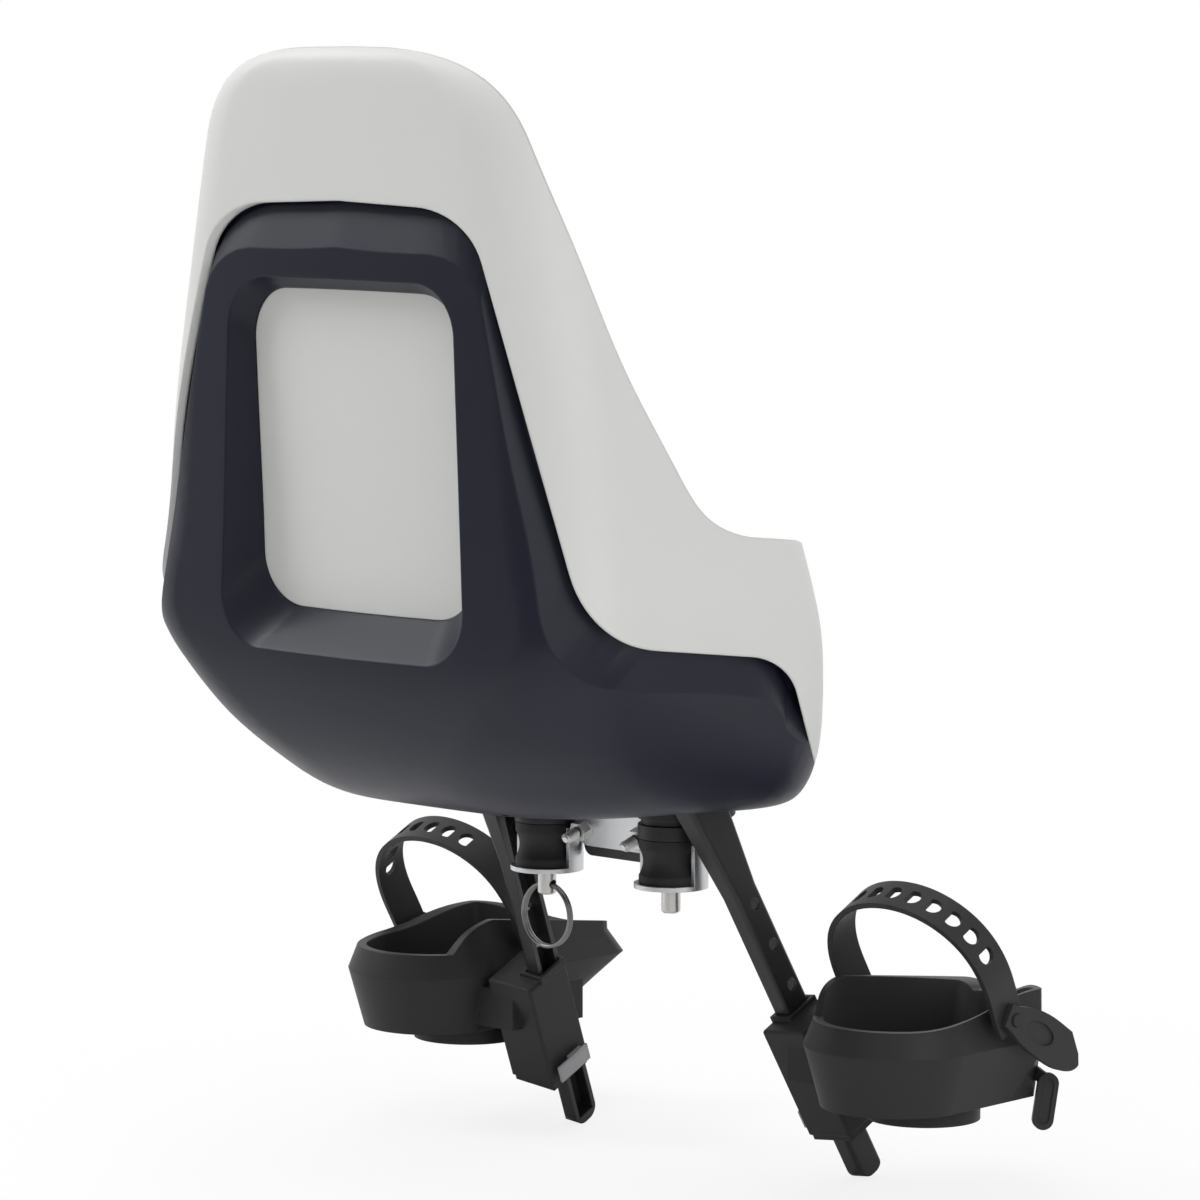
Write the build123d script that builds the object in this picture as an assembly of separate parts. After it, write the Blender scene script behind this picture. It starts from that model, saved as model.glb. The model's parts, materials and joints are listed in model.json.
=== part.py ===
from build123d import *
import math
import os

# Frame: millimetres, origin at the middle of the stem clamp, +Z up, the child faces -Y, the child's left is +X.

# Seat shell, outer form
SEAT_BOTTOM = 24.0
SEAT_TOP = 418.0
WAIST_Z = 126.0
HALF_WIDTH = 160.0
SIDE_TAPER = 0.1105
SIDE_BOW = 0.000204
ARCH_START = 362.0
ARCH_POWER = 3.2
BELLY_TOP = 122.0
BELLY_REAR_X = 85.0
BELLY_FRONT_X = 34.0
BELLY_Y = 95.0
BACK_Y = 248.0
BACK_SAG = 4.0
BACK_CORNER = 42.0
BELLY_CORNER = 55.0
FRONT_Y = 20.0
FRONT_SLOPE = 0.22
FRONT_CORNER = 42.0
TOP_ROUND = 16.0

# Seat shell, walls and inside
SKIN = 4.0
RIM_WALL = 14.0
BACK_WALL = 4.0
PANEL_Y = 225.0
PANEL_Z = 120.0
PANEL_LEAN = 0.065
FLOOR_Z = 60.0
FLOOR_TOP = 125.0
FLOOR_X = 34.0
FLOOR_Y = 60.0
LEG_OPENING = 98.0
LEG_FLARE = 26.0
ARM_Z = 167.0

# Navy outer frame
CORNER_TURN = 43.2
CORNER_Y = 56.5
EDGE_LINE = ((-131.0, 338.0), (-64.5, 334.5), (-5.4, 126.8), (94.5, 107.8), (114.0, 32.0))
EDGE_RADII = (36.0, 56.0, 30.0)
CREASE_LINE = ((-131.0, 315.0), (-62.0, 312.0), (-23.3, 107.8), (93.3, 87.0), (96.6, 33.0))
CREASE_RADII = (28.0, 45.0, 20.0)
FRONT_EDGE = ((1.0, -20.0), (82.0, 119.0))
FLANGE_TUCK = 9.0
FLANGE_ROOM = 13.0
BAND_DEPTH = 7.0
BAND_LIFT = 16.0
BAND_RUN_OUT = Vector(0, -34, -68)
WINDOW_TOP = 299.0
WINDOW_BOTTOM = 109.0
WINDOW_HALF_TOP = 80.0
WINDOW_HALF_BOTTOM = 88.0
WINDOW_DRAFT = 9.0
WINDOW_LEDGE = 17.0
FIT = 0.3

# Pins, bracket and stem clamp
PIN_R = 5.0
PIN_X = 45.0
PIN_Y = 50.0
PIN_END = -38.0
BOW_Z = 33.0
BUSH_R = 17.0
BUSH_LOW = -22.0
BUSH_TOP = 1.7
COLLAR_TOP = 21.0
SHEET = 2.5
STEM_R = 12.7
STEM_TILT = 18.0
STEM_NOTCH = 20.0
STEM_NOTCH_HALF = 44.0
BLOCK_HALF = 27.5
BLOCK_BACK = 41.0
BLOCK_LOW = -4.0
BLOCK_TOP = 30.0
WEB_LOW = 3.0
WEB_HIGH = 27.0
WEB_HALF = 27.0
CLAMP_HALF = 33.0
CLAMP_FRONT = 21.0
CLAMP_HIGH = 13.0
CLAMP_GAP = 0.7
BOLT_R = 3.0
BOLT_X = 21.0
BOLT_Z = 14.0
BOLT_END = 60.0
NUT_ACROSS = 10.0
NUT_HIGH = 5.0
WASHER_R = 5.8
RING_HOLE_Z = -32.5
RING_R = 17.0
RING_WIRE = 1.0

# Leg bars
BAR_TOP = (74.5, 60.0, 24.0)
BAR_TIP = (105.0, -40.0, -182.0)
BAR_WIDE = 17.0
BAR_DEEP = 10.0
BAR_WEB = 2.4
BAR_FLANGE = 2.8
FLARE_WIDE = 29.0
FLARE_DEEP = 13.0
FLARE_LONG = 54.0
HOLE_PITCH = 25.0
HOLE_FIRST = 63.0
HOLE_COUNT = 6
HOLE_R = 3.4

# Footrests
SLEEVE_WIDE = 31.0
SLEEVE_DEEP = 32.0
SLEEVE_START = 128.0
SLEEVE_LONG = 66.0
SLEEVE_ROOM = 0.3
SLEEVE_OUT = 8.5
SLEEVE_REAR = 5.0
HEEL_X = 168.0
HEEL_Y = 14.0
RIM_Z = -84.0
HEEL_R = 47.0
CUP_TILT = 0.5
CUP_HIGH = 45.0
EAR_RISE = 12.0
INNER_RISE = 18.0
INNER_FALL = 7.0
CUP_WALL = 4.5
CUP_BEVEL = 13.0
TOE_OUTER = (45.0, -74.0)
TOE_INNER = (-40.0, -130.0)
BOW_PULL = 40.0
SOLE_DEPTH = 33.0
STEP_RISE = 10.0
STEP_Y = -30.0
BOSS_R = 30.0
BOSS_HIGH = 10.0

# Foot straps
STRAP_WIDE = 21.0
STRAP_THICK = 3.0
STRAP_Y = -13.0
STRAP_Z = -73.0
STRAP_HALF = 49.5
STRAP_RISE = 60.0
STRAP_LEAN = 27.0
STRAP_TAIL = 16.0
STUD_R = 3.4

# Harness and liner
LINER_THICK = 9.0
PAD_GAP = 0.3
BACK_PAD_HALF = 92.0
BACK_PAD_TOP = 284.0
SEAT_PAD_HALF = 84.0
PAD_SPLIT = 76.0
WEB_WIDE = 25.0
WEB_THICK = 1.6
WEB_TOP = 300.0
WEB_X_TOP = 40.0
WEB_X_LOW = 15.0
BUCKLE_Y = 100.0
BUCKLE_LONG = 44.0
BUCKLE_HALF = 29.0
BUCKLE_HIGH = 14.0
CROTCH_Y = 58.0

os.makedirs("parts", exist_ok=True)
pieces = {}


def quarter(u, power):
    u = min(max(u, 0.0), 1.0)
    return 1 - (1 - u ** power) ** (1 / power)


def side(z):
    rise = max(z - WAIST_Z, 0.0)
    return HALF_WIDTH - SIDE_TAPER * rise - SIDE_BOW * rise ** 2


def front_line(z):
    return FRONT_Y + FRONT_SLOPE * (z - 40.0)


def panel_line(z):
    return PANEL_Y + PANEL_LEAN * (z - PANEL_Z)


def ring(z, rear_half, front_half, back, front, rear_corner, front_corner):
    with BuildSketch(Plane.XY.offset(z)) as sketch:
        with BuildLine():
            Polyline((rear_half, back - BACK_SAG), (front_half, front),
                     (-front_half, front), (-rear_half, back - BACK_SAG))
            ThreePointArc((-rear_half, back - BACK_SAG), (0, back), (rear_half, back - BACK_SAG))
        make_face()
        fillet(sketch.vertices().sort_by(Axis.Y)[2:], rear_corner)
        fillet(sketch.vertices().sort_by(Axis.Y)[:2], front_corner)
    return sketch.sketch.face()


def levels(low, low_end, high_start, high):
    steps = [low + (low_end - low) * k for k in (0, 0.03, 0.1, 0.24, 0.45, 0.7, 1.0)]
    steps += [low_end + (high_start - low_end) * k for k in (0.15, 0.4, 0.7, 1.0)]
    return steps + [high_start + (high - high_start) * k for k in (0.35, 0.65, 0.82, 0.93, 0.985)]


def outer_ring(z, inset, top):
    belly = (BELLY_TOP - z) / (BELLY_TOP - SEAT_BOTTOM)
    half = side(z) * (1 - quarter((z - ARCH_START) / (top - ARCH_START), ARCH_POWER))
    rear_half = half - BELLY_REAR_X * quarter(belly, 1.25) - inset
    front_half = half - BELLY_FRONT_X * quarter(belly, 3.0) - inset
    crest = TOP_ROUND * quarter((z - top + TOP_ROUND) / TOP_ROUND, 2.0)
    back = BACK_Y - inset - BELLY_Y * quarter(belly, 2.2) - crest
    rear_corner = BACK_CORNER - inset + BELLY_CORNER * max(belly, 0.0)
    return ring(z, rear_half, front_half, back, front_line(z) + inset,
                min(rear_corner, 0.8 * rear_half), min(FRONT_CORNER - inset, 0.8 * front_half))


def outer_form(inset=0.0):
    top = SEAT_TOP - inset
    heights = levels(SEAT_BOTTOM + inset, BELLY_TOP, ARCH_START, top)
    return loft([outer_ring(z, inset, top) for z in heights])


def cavity_ring(z, grow):
    bowl = (FLOOR_TOP - z) / (FLOOR_TOP - FLOOR_Z + grow)
    vault = quarter((z - ARCH_START) / (SEAT_TOP - RIM_WALL + grow - ARCH_START), ARCH_POWER)
    half = (side(z) - RIM_WALL + grow) * (1 - vault)
    rear_half = half - FLOOR_X * quarter(bowl, 1.8)
    front_half = half - 0.6 * FLOOR_X * quarter(bowl, 1.8)
    back = panel_line(z) - BACK_WALL + grow - FLOOR_Y * quarter(bowl, 2.0)
    front = front_line(z) + RIM_WALL - grow
    return ring(z, rear_half, front_half, back, front,
                min(BACK_CORNER - 4.0 + grow, 0.8 * rear_half),
                min(FRONT_CORNER - RIM_WALL + grow, 0.8 * front_half))


def cavity_form(grow=0.0):
    heights = levels(FLOOR_Z - grow, FLOOR_TOP, ARCH_START, SEAT_TOP - RIM_WALL + grow)
    return loft([cavity_ring(z, grow) for z in heights])


def box_between(x0, x1, y0, y1, z0, z1):
    size = (x1 - x0, y1 - y0, z1 - z0)
    return Pos((x0 + x1) / 2, (y0 + y1) / 2, (z0 + z1) / 2) * Box(*size)


def rod(radius, low, high, x=0.0, y=0.0):
    return Pos(x, y, (low + high) / 2) * Cylinder(radius, high - low)


def flip(shape):
    return mirror(shape, about=Plane.YZ)


def pair(name, left_shape):
    pieces[name + "_left"] = left_shape
    pieces[name + "_right"] = flip(left_shape)


# Seat shell: bucket, rolled rim and outer skirt in one moulding
outer = outer_form()
cavity = cavity_form()
wall = cavity_form(BACK_WALL)

with BuildSketch(Plane.YZ) as rim:
    with BuildLine():
        Spline((272, 432), (246, 419), (235, 397), (225, 357), (214, 320), (187, 251), (162, 209),
               (142, 183), (112, 171), (77, ARM_Z), (55, 160), (43, 146), (37, 128), (32, 105))
        Polyline((32, 105), (-90, 105), (-90, 470), (272, 470), (272, 432))
    make_face()
rim_cut = extrude(rim.sketch, 260, both=True)

with BuildSketch(Plane.XZ) as legs:
    with BuildLine():
        FilletPolyline((-LEG_OPENING - LEG_FLARE, 220), (-LEG_OPENING, FLOOR_Z),
                       (LEG_OPENING, FLOOR_Z), (LEG_OPENING + LEG_FLARE, 220), radius=34)
        Line((LEG_OPENING + LEG_FLARE, 220), (-LEG_OPENING - LEG_FLARE, 220))
    make_face()
leg_cut = extrude(legs.sketch, 110, both=True)

# room for the stem in front of the pan
stem_plane = Plane(origin=(0, 0, 0), x_dir=(1, 0, 0),
                   z_dir=(0, math.sin(math.radians(STEM_TILT)), math.cos(math.radians(STEM_TILT))))
with BuildSketch() as notch:
    with Locations((0, STEM_NOTCH - 60)):
        RectangleRounded(2 * STEM_NOTCH_HALF, 120, 18)
stem_cut = stem_plane * (Pos(0, 0, 8) * extrude(notch.sketch, 130))


corner_turn = math.radians(CORNER_TURN)
corner_plane = Plane(origin=(0, CORNER_Y, 0), x_dir=(-math.cos(corner_turn), -math.sin(corner_turn), 0),
                     z_dir=(-math.sin(corner_turn), math.cos(corner_turn), 0))


def rounded(line, radii, steps=2):
    # the line's ends, and points along the arc at each corner
    points = [Vector(*line[0])]
    for before, at, after, radius in zip(line, line[1:], line[2:], radii):
        corner = Vector(*at)
        back = (Vector(*before) - corner).normalized()
        ahead = (Vector(*after) - corner).normalized()
        half = math.radians(back.get_angle(ahead) / 2)
        centre = corner + (back + ahead).normalized() * (radius / math.sin(half))
        first = corner + back * (radius / math.tan(half)) - centre
        last = corner + ahead * (radius / math.tan(half)) - centre
        turn = first.get_signed_angle(last, Vector(0, 0, 1))
        points += [centre + first.rotate(Axis.Z, turn * k / steps) for k in range(steps + 1)]
    return points + [Vector(*line[-1])]


def navy_zone(grow):
    # everything behind and below the skirt edge, the edge moved outward by grow
    edge = rounded(EDGE_LINE, EDGE_RADII)
    with BuildSketch(corner_plane) as seen:
        with BuildLine():
            for k in (0, 3, 6, 9):
                Line(edge[k], edge[k + 1])
            for k in (1, 4, 7):
                ThreePointArc(edge[k], edge[k + 1], edge[k + 2])
            Polyline(edge[10], (126, -20), (-320, -20), (-320, 338), edge[0])
        make_face()
        offset(amount=grow)
    with BuildSketch(Plane.YZ) as behind:
        with BuildLine():
            Polyline(FRONT_EDGE[0], FRONT_EDGE[1], (FRONT_EDGE[1][0], 500), (400, 500), (400, -20), close=True)
        make_face()
        offset(amount=grow)
    right = extrude(seen.sketch, 500, both=True) & extrude(behind.sketch, 300, both=True)
    right = right & box_between(-300, 0, -100, 400, -60, 500)
    return right + flip(right)


zone = navy_zone(0.01)
under_skirt = (navy_zone(FLANGE_ROOM) & outer_form(SKIN)) - wall
shell = outer - cavity - rim_cut - leg_cut - (zone - wall) - under_skirt - stem_cut

# harness slots through the back wall and the floor
for x in (-WEB_X_TOP, WEB_X_TOP):
    shell -= box_between(x - 15, x + 15, 205, 242, WEB_TOP - 4, WEB_TOP + 3)
shell -= box_between(-15, 15, CROTCH_Y - 3, CROTCH_Y + 3, FLOOR_Z - BACK_WALL - 2, FLOOR_Z + 4)
pieces["seat_shell"] = shell

# Navy outer frame: band beside the skirt, raised field, bevelled window
field_back = BACK_Y


def on_form(point):
    # where the sight line through a point of the corner view first meets the outer form
    start = corner_plane.from_local_coords(Vector(point.X, point.Y, 500))
    hits = outer.find_intersection_points(Axis(start, -corner_plane.z_dir))
    return min(hits, key=lambda hit: (hit[0] - start).length)


def band_section(edge_point, crease_point):
    # wedge above the sloped band, from the raised field down to the skirt edge
    low, low_normal = on_form(edge_point)
    high, high_normal = on_form(crease_point)
    low -= low_normal * BAND_DEPTH
    slope = high - low
    lift = (low_normal + high_normal).normalized() * BAND_LIFT
    top = high + slope * 0.3
    foot = low - slope * 0.5
    return [top, foot, foot + lift, top + lift]


edge_points = rounded(EDGE_LINE, EDGE_RADII, 5)
crease_points = rounded(CREASE_LINE, CREASE_RADII, 5)
edge_points[0] -= Vector(2, 0)
crease_points[0] -= Vector(2, 0)
sections = [band_section(e, c) for e, c in zip(edge_points[:-1], crease_points[:-1])]
sections.append([point + BAND_RUN_OUT for point in sections[-1]])
band = loft([Face(Wire.make_polygon(section, close=True)) for section in sections], ruled=True)

field = (outer & navy_zone(-FIT)) - band - flip(band)
frame_form = field + (outer_form(BAND_DEPTH + 1.0) & navy_zone(FLANGE_TUCK))
frame = frame_form - cavity_form(BACK_WALL + FIT) - rim_cut - stem_cut

window_mid = (WINDOW_TOP + WINDOW_BOTTOM) / 2


def window_face(depth_y, top, bottom, half_top, half_bottom, corner):
    with BuildSketch(Plane.XZ.offset(-depth_y)) as sketch:
        with BuildLine():
            Polyline((-half_top, top), (half_top, top), (half_bottom, bottom), (-half_bottom, bottom), close=True)
        make_face()
        fillet(sketch.vertices(), corner)
    return sketch.sketch.face()


floor_y = panel_line(window_mid) - 22
grow = (field_back + 10 - panel_line(window_mid)) / (field_back - panel_line(window_mid))
shrink = (floor_y - panel_line(window_mid)) / (field_back - panel_line(window_mid))


def window_at(share, depth_y):
    return window_face(depth_y,
                       WINDOW_TOP - WINDOW_DRAFT * (1 - share),
                       WINDOW_BOTTOM + WINDOW_LEDGE * (1 - share),
                       WINDOW_HALF_TOP - WINDOW_DRAFT * (1 - share),
                       WINDOW_HALF_BOTTOM - WINDOW_DRAFT * (1 - share), 27)


frame -= loft([window_at(grow, field_back + 10), window_at(shrink, floor_y)], ruled=True)
for x in (-53.0, 0.0, 53.0):
    frame -= Pos(x, 186, 24) * Rot(35, 0, 0) * Cylinder(2.6, 40)
frame -= box_between(-PIN_X - 5.4, PIN_X + 5.4, PIN_Y - 5.4, PIN_Y + 5.4, SEAT_BOTTOM - 1, BOW_Z + 5.4)
pieces["outer_frame"] = frame


# Bow: one steel rod bent in a U, its ends are the two seat pins
with BuildLine() as bow_path:
    FilletPolyline((-PIN_X, PIN_Y, PIN_END), (-PIN_X, PIN_Y, BOW_Z), (PIN_X, PIN_Y, BOW_Z),
                   (PIN_X, PIN_Y, PIN_END), radius=7)
with BuildSketch(Plane(origin=(-PIN_X, PIN_Y, PIN_END), z_dir=(0, 0, 1))) as bow_face:
    Circle(PIN_R)
bow = sweep(bow_face.sketch, path=bow_path.wires()[0])
bow = chamfer(bow.edges().filter_by(GeomType.CIRCLE).group_by(Axis.Z)[0], 1.0)
bow -= Pos(PIN_X, PIN_Y, RING_HOLE_Z) * Rot(0, 90, 0) * Cylinder(2.5, 30)
pieces["support_bow"] = bow

plate = box_between(-PIN_X - 22, PIN_X + 22, PIN_Y - 16, PIN_Y + 16, COLLAR_TOP, SEAT_BOTTOM)
plate = fillet(plate.edges().filter_by(Axis.Z), 8)
for x in (-PIN_X, PIN_X):
    plate -= rod(PIN_R + 0.05, 0, 40, x, PIN_Y)
pieces["bow_plate"] = plate

collar = rod(BUSH_R + 0.5, BUSH_TOP + 0.3, COLLAR_TOP, PIN_X, PIN_Y) - rod(PIN_R + 0.05, -30, 40, PIN_X, PIN_Y)
groove_z = (BUSH_TOP + COLLAR_TOP) / 2
collar -= rod(BUSH_R + 2, groove_z - 2, groove_z + 1, PIN_X, PIN_Y) - rod(BUSH_R - 1.0, -30, 40, PIN_X, PIN_Y)
pair("pin_collar", collar)

with BuildSketch(Plane.XZ) as bush_half:
    with BuildLine():
        Polyline((PIN_R + 0.05, BUSH_TOP), (BUSH_R, BUSH_TOP), (BUSH_R, BUSH_TOP - 5))
        Spline((BUSH_R, BUSH_TOP - 5), (BUSH_R - 2.2, (BUSH_LOW + BUSH_TOP) / 2), (BUSH_R, BUSH_LOW + 4))
        Polyline((BUSH_R, BUSH_LOW + 4), (BUSH_R, BUSH_LOW), (PIN_R + 0.05, BUSH_LOW), (PIN_R + 0.05, BUSH_TOP))
    make_face()
bush = Pos(PIN_X, PIN_Y, 0) * revolve(bush_half.sketch, Axis.Z)
pair("bush", bush)

# Stem bracket: tilted web, a wrap round each bush and a flange below it
wrap_in = BUSH_R + 0.1
wrap_out = wrap_in + SHEET
web_face = RectangleRounded(2 * WEB_HALF, WEB_HIGH, 5)
bracket = stem_plane * (Pos(0, BLOCK_BACK, WEB_LOW + WEB_HIGH / 2) * Rot(90, 0, 0) * extrude(web_face, -SHEET))
for x in (-PIN_X, PIN_X):
    wrap = rod(wrap_out, BUSH_LOW - SHEET, -0.5, x, PIN_Y) - rod(wrap_in, BUSH_LOW, 10, x, PIN_Y)
    wrap -= box_between(x - 40, x + 40, PIN_Y + 3, PIN_Y + 60, BUSH_LOW, 10)
    bracket += wrap - rod(PIN_R + 0.3, -60, 0, x, PIN_Y)
for x in (-BOLT_X, BOLT_X):
    bracket -= stem_plane * (Pos(x, BLOCK_BACK, BOLT_Z) * Rot(90, 0, 0) * Cylinder(BOLT_R + 0.2, 30))
    bracket -= stem_plane * (Pos(x, BLOCK_BACK + SHEET + 15, BOLT_Z) * Rot(90, 0, 0) * Cylinder(WASHER_R + 0.8, 30))
for x in (-PIN_X, PIN_X):
    bracket -= rod(wrap_in, BUSH_LOW, 30, x, PIN_Y)
pieces["stem_bracket"] = bracket

block = box_between(-BLOCK_HALF, BLOCK_HALF, CLAMP_GAP, BLOCK_BACK, BLOCK_LOW, BLOCK_TOP)
block = fillet(block.edges().filter_by(Axis.Y), 4)
clamp = box_between(-CLAMP_HALF, CLAMP_HALF, -CLAMP_FRONT, -CLAMP_GAP, BOLT_Z - CLAMP_HIGH, BOLT_Z + CLAMP_HIGH)
clamp = fillet(clamp.edges().filter_by(Axis.Z).group_by(Axis.Y)[0], 9)
for x in (-BOLT_X, BOLT_X):
    hole = Pos(x, 0, BOLT_Z) * Rot(90, 0, 0) * Cylinder(BOLT_R + 0.2, 200)
    block -= hole
    clamp -= hole
block -= Cylinder(STEM_R, 100)
clamp -= Cylinder(STEM_R, 100)
block = stem_plane * block
for x in (-PIN_X, PIN_X):
    block -= rod(wrap_out + 0.3, -60, 60, x, PIN_Y)
pieces["stem_block"] = block
pieces["front_clamp"] = stem_plane * clamp

bolt_head = Pos(0, -CLAMP_FRONT - 3.5, 0) * Rot(90, 0, 0) * Cylinder(5.5, 7)
bolt_head -= Pos(0, -CLAMP_FRONT - 6, 0) * Rot(90, 0, 0) * extrude(RegularPolygon(2.9, 6), 4, both=True)
bolt_shank = Pos(0, (BOLT_END - CLAMP_FRONT) / 2, 0) * Rot(90, 0, 0) * Cylinder(BOLT_R, BOLT_END + CLAMP_FRONT)
bolt = chamfer((bolt_head + bolt_shank).edges().filter_by(GeomType.CIRCLE).group_by(Axis.Y)[-1], 0.9)
nut_y = BLOCK_BACK + SHEET
washer = Rot(90, 0, 0) * Cylinder(WASHER_R, 1.6)
nut = Rot(90, 0, 0) * extrude(RegularPolygon(NUT_ACROSS / 2, 6, major_radius=False), NUT_HIGH / 2, both=True)
nut = Pos(0, nut_y + 1.6 + NUT_HIGH / 2, 0) * nut + Pos(0, nut_y + 0.8, 0) * washer
nut -= Pos(0, nut_y, 0) * Rot(90, 0, 0) * Cylinder(BOLT_R + 0.05, 40)
pair("clamp_bolt", stem_plane * (Pos(BOLT_X, 0, BOLT_Z) * bolt))
pair("clamp_nut", stem_plane * (Pos(BOLT_X, 0, BOLT_Z) * nut))
rivet = Pos(-15.6, nut_y, WEB_LOW + 4) * (Sphere(3.0) & box_between(-4, 4, 0.0, 4, -4, 4))
pieces["bracket_rivet"] = stem_plane * rivet

# Split ring: two coils of wire through the cross hole of the left pin
ring_centre = Location((PIN_X, PIN_Y, RING_HOLE_Z - RING_R), (90, 0, 0))
coil = Torus(RING_R, RING_WIRE)
split_ring = ring_centre * (Pos(0, 0, 0.9) * coil + Pos(0, 0, -0.9) * coil)
pieces["split_ring"] = split_ring

# Leg bars, drawn along their own axis from the tip upward
bar_top = Vector(*BAR_TOP)
bar_tip = Vector(*BAR_TIP)
bar_up = (bar_top - bar_tip).normalized()
bar_side = (Vector(1, 0, 0) - bar_up * bar_up.X).normalized()
bar_plane = Plane(origin=bar_tip, x_dir=bar_side, z_dir=bar_up)
bar_long = (bar_top - bar_tip).length


def bar_face(z, wide, deep):
    with BuildSketch(Plane.XY.offset(z)) as sketch:
        Rectangle(deep, wide)
        fillet(sketch.vertices().group_by(Axis.X)[-1], 2.6)
    return sketch.sketch.face()


flare_z = bar_long - FLARE_LONG
bar = extrude(bar_face(0, BAR_WIDE, BAR_DEEP), flare_z)
bar += loft([bar_face(flare_z, BAR_WIDE, BAR_DEEP), bar_face(bar_long + 14, FLARE_WIDE, FLARE_DEEP)], ruled=True)
with BuildSketch(Plane.YZ) as tongue:
    with BuildLine():
        Polyline((BAR_WIDE, bar_long + 30), (BAR_WIDE, 40), (BAR_WIDE / 2, 30))
        FilletPolyline((BAR_WIDE / 2, 30), (BAR_WIDE / 2, 0), (-BAR_WIDE / 2, 0), (-BAR_WIDE / 2, 30), radius=7)
        Polyline((-BAR_WIDE / 2, 30), (-BAR_WIDE, 40), (-BAR_WIDE, bar_long + 30), (BAR_WIDE, bar_long + 30))
    make_face()
bar &= extrude(tongue.sketch, 20, both=True)
groove_x = BAR_DEEP / 2 - BAR_WEB
groove_y = BAR_WIDE / 2 - BAR_FLANGE
bar -= box_between(-30, groove_x, -groove_y, groove_y, 5, bar_long + 60)
for k in range(HOLE_COUNT):
    bar -= Pos(BAR_DEEP / 2, -2.0, bar_long - HOLE_FIRST - HOLE_PITCH * k) * Rot(0, 90, 0) * Cylinder(HOLE_R, 10)
bar = bar_plane * bar - box_between(0, 200, -50, 200, SEAT_BOTTOM, 100)
pair("leg_bar", bar)

# Footrests: cup, sleeve on the bar, web between them
def cup_face(z, inset, pull):
    heel = HEEL_R - inset
    with BuildSketch(Plane.XY.offset(z)) as sketch:
        with BuildLine():
            ThreePointArc((-heel, 0), (0, heel), (heel, 0))
            Polyline((heel, 0), (TOE_OUTER[0] - inset, TOE_OUTER[1] + 0.4 * inset),
                     (TOE_INNER[0] + inset, TOE_INNER[1] + 1.6 * inset + pull), (-heel, 0))
        make_face()
        fillet(sketch.vertices().sort_by(Axis.Y)[:1], 13)
        fillet(sketch.vertices().sort_by(Axis.Y)[2:3], 5)
    return sketch.sketch.face()


cup_at = Location((HEEL_X, HEEL_Y, RIM_Z), (CUP_TILT, 0, 0))
cup = loft([cup_face(INNER_RISE + 8, 5.5, 0), cup_face(0, 5, 0)], ruled=True)
cup += loft([cup_face(0, 5, 0), cup_face(-CUP_BEVEL, 0, 0)], ruled=True)
cup += loft([cup_face(-CUP_BEVEL, 0, 0), cup_face(-CUP_HIGH, 9, BOW_PULL)], ruled=True)
cup += Pos(-2, -26, -CUP_HIGH - BOSS_HIGH / 2 + 1) * Cylinder(BOSS_R, BOSS_HIGH + 2)

# the rim is low at the heel, climbs to an ear at the outer front corner and is high on the inner side
ear_plane = Plane(origin=(0, 0, 0), x_dir=(0.9, -0.436, 0), z_dir=(-0.436, -0.9, 0))
with BuildSketch(ear_plane) as ear:
    with BuildLine():
        Polyline((-140, 60), (-140, 0), (18, 0))
        Spline((18, 0), (44, 0.35 * EAR_RISE), (66, EAR_RISE), tangents=((1, 0), (1, 0)))
        Polyline((66, EAR_RISE), (140, EAR_RISE), (140, 60), (-140, 60))
    make_face()
with BuildSketch(Plane.XZ) as inner_rim:
    with BuildLine():
        Polyline((-140, 80), (-140, INNER_RISE), (-38, INNER_RISE))
        Spline((-38, INNER_RISE), (-24, 0.4 * INNER_RISE), (-8, -10), tangents=((1, 0), (1, 0)))
        Polyline((-8, -10), (140, -10), (140, 80), (-140, 80))
    make_face()
with BuildSketch(Plane.YZ) as heel_rim:
    with BuildLine():
        Polyline((140, 80), (140, -10), (38, -10))
        Spline((38, -10), (14, 0.5 * INNER_RISE), (-16, INNER_RISE), tangents=((-1, 0), (-1, 0)))
        Polyline((-16, INNER_RISE), (-16, 80), (140, 80))
    make_face()
inner_cut = Rot(INNER_FALL, 0, 0) * extrude(inner_rim.sketch, 220, both=True)
inner_cut += extrude(heel_rim.sketch, 220, both=True)
cup -= extrude(ear.sketch, 220, both=True) & inner_cut

inside = loft([cup_face(INNER_RISE + 10, 4 + CUP_WALL, 0), cup_face(-SOLE_DEPTH, 12, 16)], ruled=True)
inside -= Rot(0, 0, 38) * (Pos(0, STEP_Y - 150, -SOLE_DEPTH + STEP_RISE - 40) * Box(400, 300, 80))
with BuildSketch(Plane.XY.offset(-SOLE_DEPTH + STEP_RISE)) as sole:
    with Locations(Location((4, -62, 0), 12)):
        Ellipse(22, 32)
sole_pad = extrude(sole.sketch, 2.0)

sleeve_low = bar_long - SLEEVE_START - SLEEVE_LONG
sleeve_mid = sleeve_low + SLEEVE_LONG / 2
sleeve = chamfer(Box(SLEEVE_WIDE, SLEEVE_DEEP, SLEEVE_LONG).edges(), 1.2)
sleeve = Pos(SLEEVE_OUT, SLEEVE_REAR, sleeve_mid) * sleeve
base = Pos(SLEEVE_OUT, SLEEVE_REAR, sleeve_low - 1.0) * Box(SLEEVE_WIDE - 3, SLEEVE_DEEP - 3, 4)
collar_lip = Pos(0, 0, sleeve_low + SLEEVE_LONG) * Box(BAR_DEEP + 5, BAR_WIDE + 5, 5)
bore = Pos(0, 0, sleeve_mid) * Box(BAR_DEEP + 2 * SLEEVE_ROOM, BAR_WIDE + 2 * SLEEVE_ROOM, SLEEVE_LONG + 60)
sleeve_in = SLEEVE_OUT - SLEEVE_WIDE / 2
button_z = sleeve_low + 8.0
slot_half = BAR_WIDE / 2 - BAR_FLANGE
slot = box_between(sleeve_in - 5, 0, -slot_half, slot_half, button_z - 4, button_z + 4)
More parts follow.
